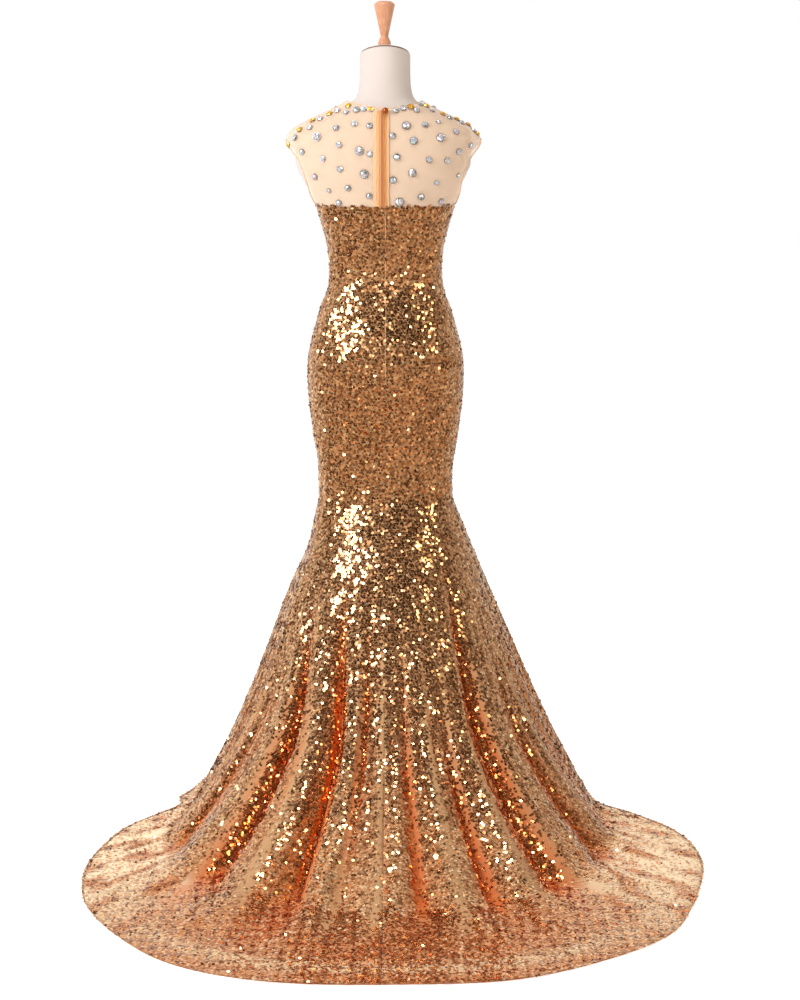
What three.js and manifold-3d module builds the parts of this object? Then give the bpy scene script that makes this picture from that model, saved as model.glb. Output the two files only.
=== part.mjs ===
// Gold sequin mermaid evening gown with a train, standing on a limbless dress form.
// Millimetres, +Z up. The origin is on the floor at the stand's pole.
// The wearer faces +Y and the train lies toward -Y.
// Plan angles are measured in degrees from the centre back, plus toward +X.
import * as THREE from 'three';
import { mergeVertices } from 'three/addons/utils/BufferGeometryUtils.js';
import Module from 'manifold-3d';

const wasm = await Module();
wasm.setup();

const CLOTH = 2;          // wall of sequin net with its sewn-in base
const NET = 1.4;          // wall of the sheer yoke
const SEAM = 0.3;         // gap where two cut pieces meet
const EASE = 1.3;         // gap between the cloth and the form inside it
const KNEE = 650;         // height where the skirt starts to flare
const BODICE_TOP = 1265;  // level top edge of the sequin bodice
const FLARE_ROWS = 12;
const RING_POWER = 2.25;  // how square the body's sections are

// Body sections of the gown: height, half width, front depth, back depth
const SECTIONS = [
  [650, 142, 86, 95], [677, 141, 87, 92], [709, 142, 89, 92], [741, 145, 92, 94], [773, 150, 95, 98],
  [805, 155, 98, 102], [837, 159, 101, 108], [869, 162, 103, 115], [901, 163.5, 105, 121],
  [933, 164, 106, 124], [964, 160, 106, 122], [996, 153, 105, 116], [1027, 144, 103, 105],
  [1059, 135, 100, 92], [1090, 122, 97, 80], [1121, 117, 96, 75], [1153, 118, 100, 78],
  [1184, 121, 108, 84], [1215, 129, 117, 92], [1246, 138, 124, 98], [1265, 143, 127, 101],
  [1300, 168, 124, 108], [1330, 188, 114, 111], [1365, 196, 93, 109], [1402, 205, 68, 102],
  [1430, 180, 58, 90], [1465, 107, 47, 68], [1480, 78, 42, 60],
];
// Where the skirt meets the floor and where its hem lies: plan angle, radius
const TOUCH = [
  [-180, 378], [-150, 385], [-120, 394], [-100, 404], [-90, 402], [-75, 425], [-60, 500], [-45, 585],
  [-30, 670], [-15, 720], [0, 740], [15, 730], [30, 690], [45, 610], [60, 530], [75, 455], [90, 430],
  [100, 430], [120, 408], [150, 388], [180, 378],
];
const HEM = [
  [-180, 388], [-150, 396], [-120, 408], [-100, 434], [-90, 441], [-77, 449], [-72, 499], [-65, 591],
  [-58, 666], [-53, 726], [-48, 783], [-39, 881], [-30, 961], [-21, 1033], [-12, 1060], [2, 1056],
  [12, 1060], [21, 1031], [32, 977], [40, 896], [46, 840], [55, 764], [66, 650], [73, 546], [79, 472],
  [90, 438], [100, 446], [120, 422], [150, 400], [180, 388],
];
// Fold troughs round the skirt: angle at the knee, angle on the floor, share of the drop where it starts,
// where it dies away (1 the floor, 2 the hem), depth
const TROUGHS = [
  [-167, -166, 0.30, 2.0, 17], [-146, -146, 0.22, 2.0, 22], [-126, -125, 0.30, 2.0, 16],
  [-108, -104, 0.24, 2.0, 21], [-94, -85, 0.30, 1.9, 17], [-80, -66, 0.28, 1.8, 20],
  [-69, -49, 0.34, 1.7, 18], [-58, -31, 0.16, 1.75, 33], [-30, -14, 0.08, 1.7, 35],
  [-9, -6, 0.10, 1.2, 15], [10, 6, 0.26, 1.5, 20], [26, 17, 0.36, 1.6, 24], [44, 29, 0.08, 1.6, 32],
  [64, 46, 0.34, 1.7, 25], [79, 64, 0.26, 1.8, 18], [94, 84, 0.30, 1.9, 20], [108, 104, 0.24, 2.0, 17],
  [127, 126, 0.30, 2.0, 21], [148, 147, 0.22, 2.0, 17], [171, 171, 0.30, 2.0, 21],
];
// Share of a fold's breadth at each of its columns
const FOLD_STEPS = [0, 0.1, 0.27, 0.5, 0.73, 0.9];
// Gores of the sequin dress: name, trough it starts after, number of folds in it
const GORES = [
  ['side_front_left_gore', 1, 2], ['side_back_left_gore', 3, 3], ['back_left_gore', 6, 3],
  ['back_right_gore', 9, 3], ['side_back_right_gore', 12, 3], ['side_front_right_gore', 15, 2],
  ['front_gore', 17, 4],
];
const FIT_ROWS = [1265, 1225, 1175, 1125, 1085, 1045, 1000, 945, 880, 805, 725];

// Crystals on the back yoke: x, height, width
const BACK_STONES = [
  [-99, 1424, 12], [-62, 1432, 12], [-31, 1428, 12], [-138, 1406, 16.5], [-93, 1390, 12], [-52, 1378, 16.5],
  [-31, 1372, 12], [-169, 1376, 12], [-126, 1362, 12], [-91, 1342, 12], [-143, 1326, 12], [-42, 1332, 16.5],
  [-75, 1304, 12], [-114, 1298, 9.5], [-32, 1288, 12], [-94, 1274, 12], [15, 1408, 12], [43, 1428, 16.5],
  [81, 1430, 12], [108, 1436, 9.5], [144, 1416, 12], [58, 1398, 15], [113, 1404, 16.5], [175, 1388, 12],
  [150, 1376, 12], [24, 1366, 13.5], [89, 1360, 12], [126, 1358, 12], [55, 1334, 15], [16.5, 1320, 13.5],
  [105, 1314, 9.5], [149, 1328, 8.5], [73, 1286, 13.5], [30, 1276, 16.5], [114, 1276, 12],
];
// Crystals on the front yoke: x, height, width
const FRONT_STONES = [
  [-140, 1368, 12], [-112, 1390, 15], [-92, 1344, 12], [-62, 1366, 12], [-72, 1302, 13.5], [-36, 1330, 15],
  [-8, 1292, 12], [-4, 1362, 12], [28, 1322, 15], [52, 1362, 12], [60, 1292, 13.5], [88, 1338, 12],
  [112, 1380, 15], [142, 1362, 12],
];
// Stones along the back neckline and the shoulder seams: x, height, width, kind (1 yellow, 0 clear)
const BORDER_STONES = [
  [-75, 1468, 12.5, 1], [-113, 1452, 12.5, 1], [-148, 1438, 12.5, 1], [-174, 1420, 12.5, 1],
  [-198, 1390, 11, 1], [-30, 1464, 12, 1], [52, 1468, 12.5, 1], [84, 1468, 12, 1],
  [118, 1451, 12.5, 1], [146, 1441, 12.5, 1], [170, 1430, 12.5, 1], [194, 1412, 12, 1],
  [-97, 1458, 12, 0], [-79, 1455, 11, 0], [-58, 1460, 14, 0], [-43, 1462, 12, 0], [-132, 1442, 12, 0],
  [-153, 1424, 12, 0], [-184, 1404, 13, 0], [22, 1459, 12, 0], [37, 1464, 12, 0], [64, 1459, 12, 0],
  [72, 1473, 11, 0], [96, 1459, 12, 0], [132, 1444, 12, 0], [157, 1434, 12, 0], [181, 1419, 12, 0],
];

const rad = (a) => (a * Math.PI) / 180;
const clamp = (v, lo, hi) => Math.min(hi, Math.max(lo, v));
const mix = (a, b, t) => a + (b - a) * t;
const smooth = (lo, hi, v) => {
  const t = clamp((v - lo) / (hi - lo), 0, 1);
  return t * t * (3 - 2 * t);
};

// Smooth curve through a table's rows, column k against column 0
function look(table, k, at) {
  const n = table.length;
  let i = 0;
  while (i < n - 2 && table[i + 1][0] < at) i++;
  const slope = (j) => {
    const lo = Math.max(0, j - 1), hi = Math.min(n - 1, j + 1);
    return (table[hi][k] - table[lo][k]) / (table[hi][0] - table[lo][0]);
  };
  const w = table[i + 1][0] - table[i][0];
  const t = clamp((at - table[i][0]) / w, 0, 1), s = 1 - t;
  return s * s * (1 + 2 * t) * table[i][k] + t * t * (3 - 2 * t) * table[i + 1][k]
    + t * s * s * w * slope(i) - t * t * s * w * slope(i + 1);
}

const wrap = (a) => ((((a + 180) % 360) + 360) % 360) - 180;

// Share by which the right shoulder is narrower than the left
const RIGHT_DRAW = 0.035;

// Radius of the body section at a plan angle and height
function bodyRadius(angle, z) {
  const c = Math.cos(rad(angle)), s = Math.abs(Math.sin(rad(angle)));
  const drawn = Math.sin(rad(angle)) > 0 ? 1 - RIGHT_DRAW * smooth(1270, 1330, z) : 1;
  const depth = look(SECTIONS, c > 0 ? 3 : 2, z), side = look(SECTIONS, 1, z) * drawn;
  const p = RING_POWER;
  let r = ((s / side) ** p + (Math.abs(c) / depth) ** p) ** (-1 / p);
  if (c < 0) {
    const off = (180 - Math.abs(wrap(angle)) - 33) / 17;
    r += 9 * Math.exp(-off * off) * smooth(1150, 1255, z) * (1 - smooth(1262, 1345, z));
  }
  return r;
}

const at = (angle, r, z) => [Math.sin(rad(angle)) * r, -Math.cos(rad(angle)) * r, z];
const sub = (a, b) => a.map((v, i) => v - b[i]);
const add = (a, b, k = 1) => a.map((v, i) => v + k * b[i]);
const cross = (a, b) => [a[1] * b[2] - a[2] * b[1], a[2] * b[0] - a[0] * b[2], a[0] * b[1] - a[1] * b[0]];
const unit = (a) => {
  const l = Math.hypot(...a) || 1;
  return a.map((v) => v / l);
};

// Outward normal of a surface given as point(u, v), v running down
function normalOf(point, u, v, du, dv) {
  const a = sub(point(u + du, v), point(u - du, v)), b = sub(point(u, v + dv), point(u, v - dv));
  return unit(cross(b, a));
}

// Fold number (0 to 19, fraction across the fold) to plan angles at the knee and on the floor
function foldAngles(c) {
  const n = TROUGHS.length;
  const k = ((Math.floor(c) % n) + n) % n, x = c - Math.floor(c);
  const a = TROUGHS[k], b = TROUGHS[(k + 1) % n];
  const turn = k === n - 1 ? 360 : 0;
  return [mix(a[0], b[0] + turn, x), mix(a[1], b[1] + turn, x), a, b, x];
}

// How far the left side draws in just below the knee
const KNEE_TUCK = 8;

// Base line of one fold column from knee to hem: radius and height at u, 0 knee, 1 floor, 2 hem
function basePath(c, u) {
  const [top, floor] = foldAngles(c);
  const angle = mix(top, floor, smooth(0.03, 0.62, u));
  const start = bodyRadius(angle, KNEE);
  const touch = look(TOUCH, 1, wrap(angle)), hem = Math.max(touch + 6, look(HEM, 1, wrap(angle)));
  const back = clamp(Math.cos(rad(angle)), 0, 1) ** 0.8;
  const side = Math.sin(rad(angle)), round = Math.abs(wrap(angle));
  const swell = 0.12 * smooth(92, 108, round) + 0.06 * Math.exp(-(((round - 70) / 9) ** 2));
  const lean = (side > 0 ? 0.08 : 0.02 - swell) * side;
  const t = clamp(u, 0, 1), q = 1 - t;
  const r = start + (touch - start) * (2 * t * q * (0.42 - 0.12 * back + lean) + t * t)
    - KNEE_TUCK * Math.max(0, -side) * Math.exp(-(((t - 0.15) / 0.09) ** 2));
  const z = KNEE * q * q + 2 * t * q * (290 - 80 * back);
  return { angle, r: r + (hem - touch) * clamp(u - 1, 0, 1), z };
}

// How far the cloth sinks below the base at a column: deep narrow troughs, broad rounds between
function sink(c, u) {
  const [, , a, b, x] = foldAngles(c);
  const round = Math.sin(Math.PI * x) ** 0.62;
  const depth = (row) => row[4] * smooth(row[2], row[2] + 0.5, u) * (1 - smooth(row[3] - 0.55, row[3], u));
  return mix(depth(a), depth(b), smooth(0, 1, x)) * (1 - round);
}

// Height that the rounds keep above the floor on the train
function lift(c, u) {
  const [, , a, b, x] = foldAngles(c);
  const height = (row) => row[4] * 0.5 * smooth(0.75, 1, u) * (1 - smooth(1.0, row[3], u));
  return mix(height(a), height(b), smooth(0, 1, x)) * Math.sin(Math.PI * x) ** 0.8;
}

// Outer point of the skirt at fold column c and u from knee to hem
function skirtPoint(c, u) {
  const p = basePath(c, u), ahead = basePath(c, u + 0.01), behind = basePath(c, u - 0.01);
  const dr = ahead.r - behind.r, dz = ahead.z - behind.z, l = Math.hypot(dr, dz) || 1;
  const out = -sink(c, u);
  const r = p.r - (dz / l) * out;
  const z = p.z + (dr / l) * out + lift(c, u);
  return at(p.angle, r, Math.max(z, CLOTH));
}

// Values of u for a column, at equal steps of its length from knee to hem
function pathSteps(c, rows) {
  const n = 120, length = [0];
  for (let i = 1; i <= n; i++) {
    const a = basePath(c, (2 * (i - 1)) / n), b = basePath(c, (2 * i) / n);
    length.push(length[i - 1] + Math.hypot(b.r - a.r, b.z - a.z));
  }
  const steps = [];
  for (let k = 0; k <= rows; k++) {
    const want = (length[n] * k) / rows;
    let i = 1;
    while (i < n && length[i] < want) i++;
    steps.push((2 * (i - 1 + (want - length[i - 1]) / (length[i] - length[i - 1]))) / n);
  }
  return steps;
}

// A flat triangle list becomes one closed mesh with its own material
function meshOf(name, points, faces, look2) {
  const flat = [];
  for (const f of faces) for (const i of f) flat.push(...points[i]);
  let g = new THREE.BufferGeometry();
  g.setAttribute('position', new THREE.Float32BufferAttribute(flat, 3));
  g = mergeVertices(g, 1e-3);
  return finish(name, g, look2);
}

function finish(name, geometry, look2) {
  const [color, roughness, metalness] = look2;
  const mesh = new THREE.Mesh(geometry, new THREE.MeshStandardMaterial({ color, roughness, metalness }));
  geometry.computeVertexNormals();
  mesh.name = name;
  return mesh;
}

// Triangles between two rows of point numbers that share their ends;
// the longer row has whole steps per short one
function strip(upper, lower, faces) {
  let i = 0, j = 0;
  const nu = upper.length - 1, nl = lower.length - 1;
  while (i < nu || j < nl) {
    if (j < nl && (i === nu || (j + 0.5) / nl < (i + 0.5) / nu)) {
      faces.push([upper[i], lower[j], lower[j + 1]]);
      j++;
    } else {
      faces.push([upper[i], lower[j], upper[i + 1]]);
      i++;
    }
  }
}

// Closed wall of a sheet: rows of {outer, inner} points, top to bottom, left to right as seen from outside
function wall(rows) {
  const points = [], faces = [];
  const put = (p) => points.push(p) - 1;
  const outer = rows.map((row) => row.map((p) => put(p.outer)));
  const inner = rows.map((row) => row.map((p) => put(p.inner)));
  const back = [];
  for (let k = 0; k + 1 < rows.length; k++) {
    strip(outer[k], outer[k + 1], faces);
    strip(inner[k], inner[k + 1], back);
  }
  for (const [a, b, c] of back) faces.push([a, c, b]);
  const last = rows.length - 1;
  const rim = (a, b, c, d) => faces.push([a, b, c], [a, c, d]);
  for (let j = 0; j + 1 < outer[0].length; j++) {
    rim(outer[0][j], outer[0][j + 1], inner[0][j + 1], inner[0][j]);
  }
  for (let j = 0; j + 1 < outer[last].length; j++) {
    rim(outer[last][j + 1], outer[last][j], inner[last][j], inner[last][j + 1]);
  }
  for (let k = 0; k < last; k++) {
    const a = outer[k].length - 1, b = outer[k + 1].length - 1;
    rim(outer[k + 1][0], outer[k][0], inner[k][0], inner[k + 1][0]);
    rim(outer[k][a], outer[k + 1][b], inner[k + 1][b], inner[k][a]);
  }
  return { points, faces };
}

// Both faces of a sheet at one point, pushed half a seam sideways at a seam column
function cloth(point, u, v, du, dv, thick, side, level = false) {
  const p = point(u, v);
  let n = normalOf(point, u, v, du, dv);
  if (level) n = unit([n[0], n[1], 0]);
  const angle = Math.atan2(p[0], -p[1]);
  const shift = [(Math.cos(angle) * side * SEAM) / 2, (Math.sin(angle) * side * SEAM) / 2, 0];
  return { outer: add(p, shift), inner: add(add(p, shift), n, -thick) };
}

const bodyPoint = (angle, z) => at(angle, bodyRadius(angle, z), z);
// v runs down, so heights are given with their sign turned
const bodyDown = (angle, v) => bodyPoint(angle, -v);

function gore([name, first, folds]) {
  const from = first + 0.5, to = from + folds;
  const fine = [];
  for (let k = first; k <= first + folds; k++) for (const s of FOLD_STEPS) fine.push(k + s);
  const columns = fine.filter((c) => c >= from - 1e-9 && c <= to + 1e-9);
  const coarse = columns.filter((c) => Math.abs((c * 2) % 1) < 1e-9);
  const side = (list, j) => (j === 0 ? 1 : j === list.length - 1 ? -1 : 0);
  const rows = FIT_ROWS.map((z, i) => coarse.map((c, j) => {
    const down = i === 0 ? z - SEAM / 2 : z;
    return cloth(bodyDown, foldAngles(c)[0], -down, 0.5, 2, CLOTH, side(coarse, j), i === 0);
  }));
  const steps = columns.map((c) => pathSteps(c, FLARE_ROWS));
  for (let k = 0; k <= FLARE_ROWS; k++) {
    rows.push(columns.map((c, j) => {
      if (k === 0) return cloth(bodyDown, foldAngles(c)[0], -KNEE, 0.5, 2, CLOTH, side(columns, j));
      const u = Math.min(steps[j][k], 1.995);
      const p = cloth(skirtPoint, c, u, 0.02, 0.004, CLOTH, side(columns, j));
      if (k === FLARE_ROWS) {
        p.outer[2] = CLOTH;
        p.inner = [p.inner[0], p.inner[1], 0];
      }
      p.inner[2] = Math.max(0, p.inner[2]);
      return p;
    }));
  }
  const { points, faces } = wall(rows);
  return meshOf(name, points, faces, [0xb98550, 0.35, 0.7]);
}

// Top edge of the yoke: the neckline, high at the nape and low at the throat
function necklineHeight(angle) {
  const c = Math.cos(rad(angle));
  return c > 0 ? mix(1480, 1464, c * c) : mix(1480, 1406, Math.abs(c) ** 1.5);
}

const YOKE_ROWS = [0, 0.05, 0.13, 0.24, 0.36, 0.48, 0.58, 0.643, 0.73, 0.82, 0.91, 1];
const YOKE_SEAM = -4;  // plan angle of the centre-back opening

// Plan angle of the armhole edge at a share of the yoke's height
function armholeAngle(w, back) {
  if (w <= 0 || w >= 0.643) return 90;
  const reach = (back ? 58 : 66) * Math.sin((Math.PI * w) / 0.643) ** 0.8;
  let angle = 80;
  for (let i = 0; i < 30; i++) {
    const z = mix(BODICE_TOP, necklineHeight(angle), w);
    const r = bodyRadius(back ? angle : 180 - angle, z);
    angle = 0.5 * angle + (90 / Math.PI) * Math.acos(clamp(reach / r, 0, 1));
  }
  return angle;
}

const yokeAngle = (from, to, t) => mix(from, to, t);

// Yoke sheet over t across and w from the bodice to the neckline, between two edges given as functions of w
function yokeSurface(left, right) {
  return (t, down) => {
    const w = -down, angle = yokeAngle(left(clamp(w, 0, 1)), right(clamp(w, 0, 1)), t);
    const z = mix(BODICE_TOP, necklineHeight(angle), w);
    return at(angle, bodyRadius(angle, z), z);
  };
}

function yokeWall(left, right, columns) {
  const surface = yokeSurface(left, right);
  const rows = [...YOKE_ROWS].reverse().map((w) => {
    const row = [];
    for (let j = 0; j <= columns; j++) {
      const side = j === 0 ? 1 : j === columns ? -1 : 0;
      const p = cloth(surface, j / columns, -w, 0.01, 0.01, NET, side, w === 0);
      if (w === 0) {
        p.outer[2] += SEAM / 2;
        p.inner[2] += SEAM / 2;
      }
      row.push(p);
    }
    return row;
  });
  return wall(rows);
}

const toManifold = (geometry) => {
  const bare = geometry.clone();
  bare.deleteAttribute('normal');
  const g = mergeVertices(bare, 1e-3);
  return new wasm.Manifold(new wasm.Mesh({
    numProp: 3,
    vertProperties: new Float32Array(g.attributes.position.array),
    triVerts: new Uint32Array(g.index.array),
  }));
};
const fromManifold = (solid) => {
  const m = solid.getMesh();
  const g = new THREE.BufferGeometry();
  g.setAttribute('position', new THREE.Float32BufferAttribute(m.vertProperties, 3));
  g.setIndex(new THREE.Uint32BufferAttribute(m.triVerts, 1));
  return mergeVertices(g, 1e-3);
};

// Round faceted stone: a five-sided girdle and a small table, its foot inside the net
function stone(place, normal, width) {
  const g = new THREE.CylinderGeometry(width * 0.27, width * 0.5, width * 0.3 + 0.5, 5, 1);
  g.deleteAttribute('normal');
  g.deleteAttribute('uv');
  g.translate(0, width * 0.15 - 0.25, 0);
  const up = new THREE.Vector3(0, 1, 0);
  const turn = new THREE.Quaternion().setFromUnitVectors(up, new THREE.Vector3(...normal));
  g.applyQuaternion(turn);
  g.translate(...place);
  return toManifold(g);
}

// Point and normal of the body where x and the height are given, on the back or the front
function onBody(x, z, back) {
  let angle = 30 * Math.sign(x);
  for (let i = 0; i < 40; i++) {
    const r = bodyRadius(back ? angle : 180 - angle, z);
    angle = 0.5 * angle + 0.5 * (180 / Math.PI) * Math.asin(clamp(x / r, -0.99, 0.99));
  }
  const plan = back ? angle : 180 - angle;
  return { plan, place: bodyPoint(plan, z), normal: normalOf(bodyDown, plan, -z, 0.5, 2) };
}

// A border stone's place, kept far enough below the neckline to sit on the net
function onBorder([x, z, width]) {
  let s = onBody(x, z, true);
  const limit = necklineHeight(s.plan) - width * 0.42;
  if (z > limit) s = onBody(x, limit, true);
  return { x, width, ...s };
}

function placedBorder({ angle, w, width }) {
  const z = mix(BODICE_TOP, necklineHeight(angle), w);
  return { place: bodyPoint(angle, z), normal: normalOf(bodyDown, angle, -z, 0.5, 2), width };
}

// Moves a stone's foot onto the wall's own facet below it
function seat(sheet, s) {
  const normal = new THREE.Vector3(...s.normal);
  const from = new THREE.Vector3(...s.place).addScaledVector(normal, 20);
  const hit = new THREE.Raycaster(from, normal.clone().negate()).intersectObject(sheet)[0];
  if (!hit) return null;
  return stone(hit.point.toArray(), hit.face.normal.toArray(), s.width);
}

function yoke(name, left, right, columns, stones, look2) {
  const { points, faces } = yokeWall(left, right, columns);
  const sheet = meshOf(name, points, faces, look2);
  let solid = toManifold(sheet.geometry);
  for (const s of stones) {
    const seated = seat(sheet, s);
    if (seated) solid = solid.add(seated);
  }
  return finish(name, fromManifold(solid), look2);
}

function yokes() {
  const look2 = [0xf0cfae, 0.6, 0];
  const back = (w) => armholeAngle(w, true), front = (w) => 180 - armholeAngle(w, false);
  const stones = BACK_STONES.map(([x, z, width]) => ({ x, width, ...onBody(x, z, true) }));
  const left = stones.filter((s) => s.x < 0), right = stones.filter((s) => s.x > 0);
  const border = BORDER_STONES.map(onBorder);
  left.push(...border.filter((s) => s.x < 0));
  right.push(...border.filter((s) => s.x > 0));
  const throat = [];
  for (let k = 0; k < 11; k++) throat.push(placedBorder({ angle: 100 + 16 * k, w: 0.95, width: 12 }));
  const chest = FRONT_STONES.map(([x, z, width]) => ({ width, ...onBody(x, z, false) }));
  return [
    yoke('yoke_back_left', (w) => -back(w), () => YOKE_SEAM, 8, left, look2),
    yoke('yoke_back_right', () => YOKE_SEAM, back, 9, right, look2),
    yoke('yoke_front', front, (w) => 360 - front(w), 16, [...chest, ...throat], look2),
  ];
}

// Two folded net bands that carry the yoke's zip, lying on the back yoke either side of its opening
function placket(name, from, to) {
  const raised = SEAM, thick = 1.2;
  const rows = [];
  for (let k = 0; k <= 12; k++) {
    const z = mix(1458, BODICE_TOP + 1.5, k / 12);
    const row = [];
    for (let j = 0; j <= 3; j++) {
      const s = onBody(mix(from, to, j / 3), z, true);
      const crease = 0.5 * Math.sin(k * 1.9 + j * 2.4) * Math.sin((Math.PI * j) / 3);
      row.push({
        inner: add(s.place, s.normal, raised + 0.35),
        outer: add(s.place, s.normal, raised + 0.35 + thick + crease),
      });
    }
    rows.push(row);
  }
  const { points, faces } = wall(rows);
  return meshOf(name, points, faces, [0xe0a468, 0.6, 0]);
}

// Solid made of closed rings, bottom to top, with its two ends filled
function stack(name, rings, look2) {
  const points = [], faces = [];
  const ids = rings.map((ring) => ring.map((p) => points.push(p) - 1));
  const n = rings[0].length;
  for (let k = 0; k + 1 < ids.length; k++) {
    for (let j = 0; j < n; j++) {
      const i = (j + 1) % n;
      faces.push([ids[k][j], ids[k][i], ids[k + 1][i]], [ids[k][j], ids[k + 1][i], ids[k + 1][j]]);
    }
  }
  const centre = (ring) => [0, 1, 2].map((a) => ring.reduce((t, p) => t + p[a], 0) / n);
  const low = points.push(centre(rings[0])) - 1, high = points.push(centre(rings[rings.length - 1])) - 1;
  for (let j = 0; j < n; j++) {
    const i = (j + 1) % n;
    faces.push([ids[0][i], ids[0][j], low], [ids[ids.length - 1][j], ids[ids.length - 1][i], high]);
  }
  return meshOf(name, points, faces, look2);
}

const ringAngles = (n) => Array.from({ length: n }, (_, j) => (360 * j) / n - 180);

// Slanted plane of the neck cap, higher at the back
const CAP_BACK = 1587, CAP_FRONT = 1552;
const capHeight = (y) => mix((CAP_BACK + CAP_FRONT) / 2, CAP_BACK, -y / 52);
// Neck rings: share of the way up from the shoulders to the cap, share of the way in to the neck's radius
const NECK_RADIUS = 51.5;
const NECK = [[0.06, 0.35], [0.12, 0.6], [0.22, 0.8], [0.4, 0.94], [0.65, 1], [1, 1]];
const FORM_FOOT = 782;
const ARM_PLATE = 184;

// The form's surface: the gown's own sections moved in, with flat slanting arm plates in the armholes
function formPoint(angle, z) {
  const p = bodyPoint(angle, z), n = normalOf(bodyDown, angle, -z, 0.5, 2);
  const s = Math.abs(Math.sin(rad(angle))), front = Math.cos(rad(angle)) < 0.1;
  const slack = 0.9 * smooth(BODICE_TOP, 1300, z) + s ** 3 * (2 + (front ? 6 : 2) * smooth(1330, 1400, z))
    * smooth(BODICE_TOP, 1275, z);
  const q = add(p, n, -(CLOTH + EASE + slack)), draw = q[0] > 0 ? 8 : 0;
  const up = clamp((z - BODICE_TOP) / 137, 0, 1);
  const reach = 143 + 62 * up - 6.5 + 9.5 * Math.sin(Math.PI * up) ** 0.7;
  const plate = Math.min(ARM_PLATE, reach) - draw * smooth(0, 0.25, up);
  if (z > BODICE_TOP && Math.abs(q[0]) > plate) q[0] = Math.sign(q[0]) * plate;
  return q;
}

function formTorso() {
  const angles = TROUGHS.flatMap((_, k) => [foldAngles(k)[0], foldAngles(k + 0.5)[0]]);
  const rings = [0.95, 1].map((share, i) => angles.map((a) => {
    const p = formPoint(a, FORM_FOOT + 8);
    return [p[0] * share, p[1] * share, FORM_FOOT + 8 * i];
  }));
  for (const z of [...FIT_ROWS].reverse()) {
    if (z > FORM_FOOT + 9) rings.push(angles.map((a) => formPoint(a, z)));
  }
  for (const w of YOKE_ROWS.slice(1)) {
    rings.push(angles.map((a) => formPoint(a, mix(BODICE_TOP, necklineHeight(a), w))));
  }
  const shoulder = rings[rings.length - 1];
  for (const [up, inward] of NECK) {
    rings.push(shoulder.map((p) => {
      const angle = (180 / Math.PI) * Math.atan2(p[0], -p[1]);
      const q = at(angle, mix(Math.hypot(p[0], p[1]), NECK_RADIUS, inward), 0);
      return [q[0], q[1], mix(p[2], capHeight(q[1]), up)];
    }));
  }
  return stack('form_torso', rings, [0xefe6da, 0.85, 0]);
}

// Rings of a slanted round plate between two offsets above the cap plane
function neckCap() {
  const angles = ringAngles(24);
  const ring = (r, lift2) => angles.map((a) => {
    const p = at(a, r, 0);
    return [p[0], p[1], capHeight(p[1]) + lift2];
  });
  const rings = [
    ring(48.6, SEAM), ring(49.8, SEAM), ring(50.2, 1.6), ring(49.6, 4), ring(47, 4.6), ring(20, 5),
  ];
  return stack('neck_cap', rings, [0x8a6a58, 0.5, 0]);
}

// Turned wooden finial standing upright on the slanted cap, a little left of its centre: height, radius
const FINIAL = [
  [1581, 12], [1592, 12.6], [1594, 13.4], [1597, 13], [1601.5, 11.3], [1606, 8.8], [1608.5, 7.7],
  [1640, 14.6], [1672, 21.7], [1676, 18], [1679, 13],
];
const FINIAL_X = -1.4;

function finial() {
  const angles = ringAngles(20);
  const foot = angles.map((a) => {
    const p = at(a, 12, 0);
    return [p[0] + FINIAL_X, p[1], capHeight(p[1]) + 5 + SEAM];
  });
  const round = (r, z) => angles.map((a) => add(at(a, r, z), [1, 0, 0], FINIAL_X));
  const rings = [foot, ...FINIAL.slice(1).map(([z, r]) => round(r, z))];
  return stack('finial', rings, [0xd79a6c, 0.45, 0]);
}

// Turned part about the pole's axis: height, radius
function turned(name, profile, sides, look2) {
  const angles = ringAngles(sides);
  return stack(name, profile.map(([z, r]) => angles.map((a) => at(a, r, z))), look2);
}

// Radius of the cut round bead that closes the neck opening
const BEAD = 6.5;

function neckBead() {
  const s = onBody(0, 1454, true);
  const g = new THREE.IcosahedronGeometry(BEAD, 1);
  g.deleteAttribute('normal');
  g.deleteAttribute('uv');
  g.translate(...add(s.place, s.normal, 1.6 + SEAM + BEAD));
  return finish('neck_bead', mergeVertices(g, 1e-3), [0xc2661a, 0.15, 0]);
}

const part = new THREE.Group();
part.name = 'evening_gown_on_dress_form';
for (const row of GORES) part.add(gore(row));
for (const mesh of yokes()) part.add(mesh);
part.add(placket('placket_left', -23.5, -6.2), placket('placket_right', -5.8, 8.2), neckBead());
part.add(formTorso(), neckCap(), finial());
const POLE = [[22.3, 12.5], [766, 12.5], [767, 40], [781.7, 40]];
part.add(turned('stand_pole', POLE, 16, [0xb9b4ae, 0.3, 0.9]));
const BASE = [[0, 168], [3, 170], [10, 168], [16, 120], [19, 60], [22, 40]];
part.add(turned('stand_base', BASE, 30, [0x6d6560, 0.4, 0.6]));
export default part;
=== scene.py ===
import math

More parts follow.
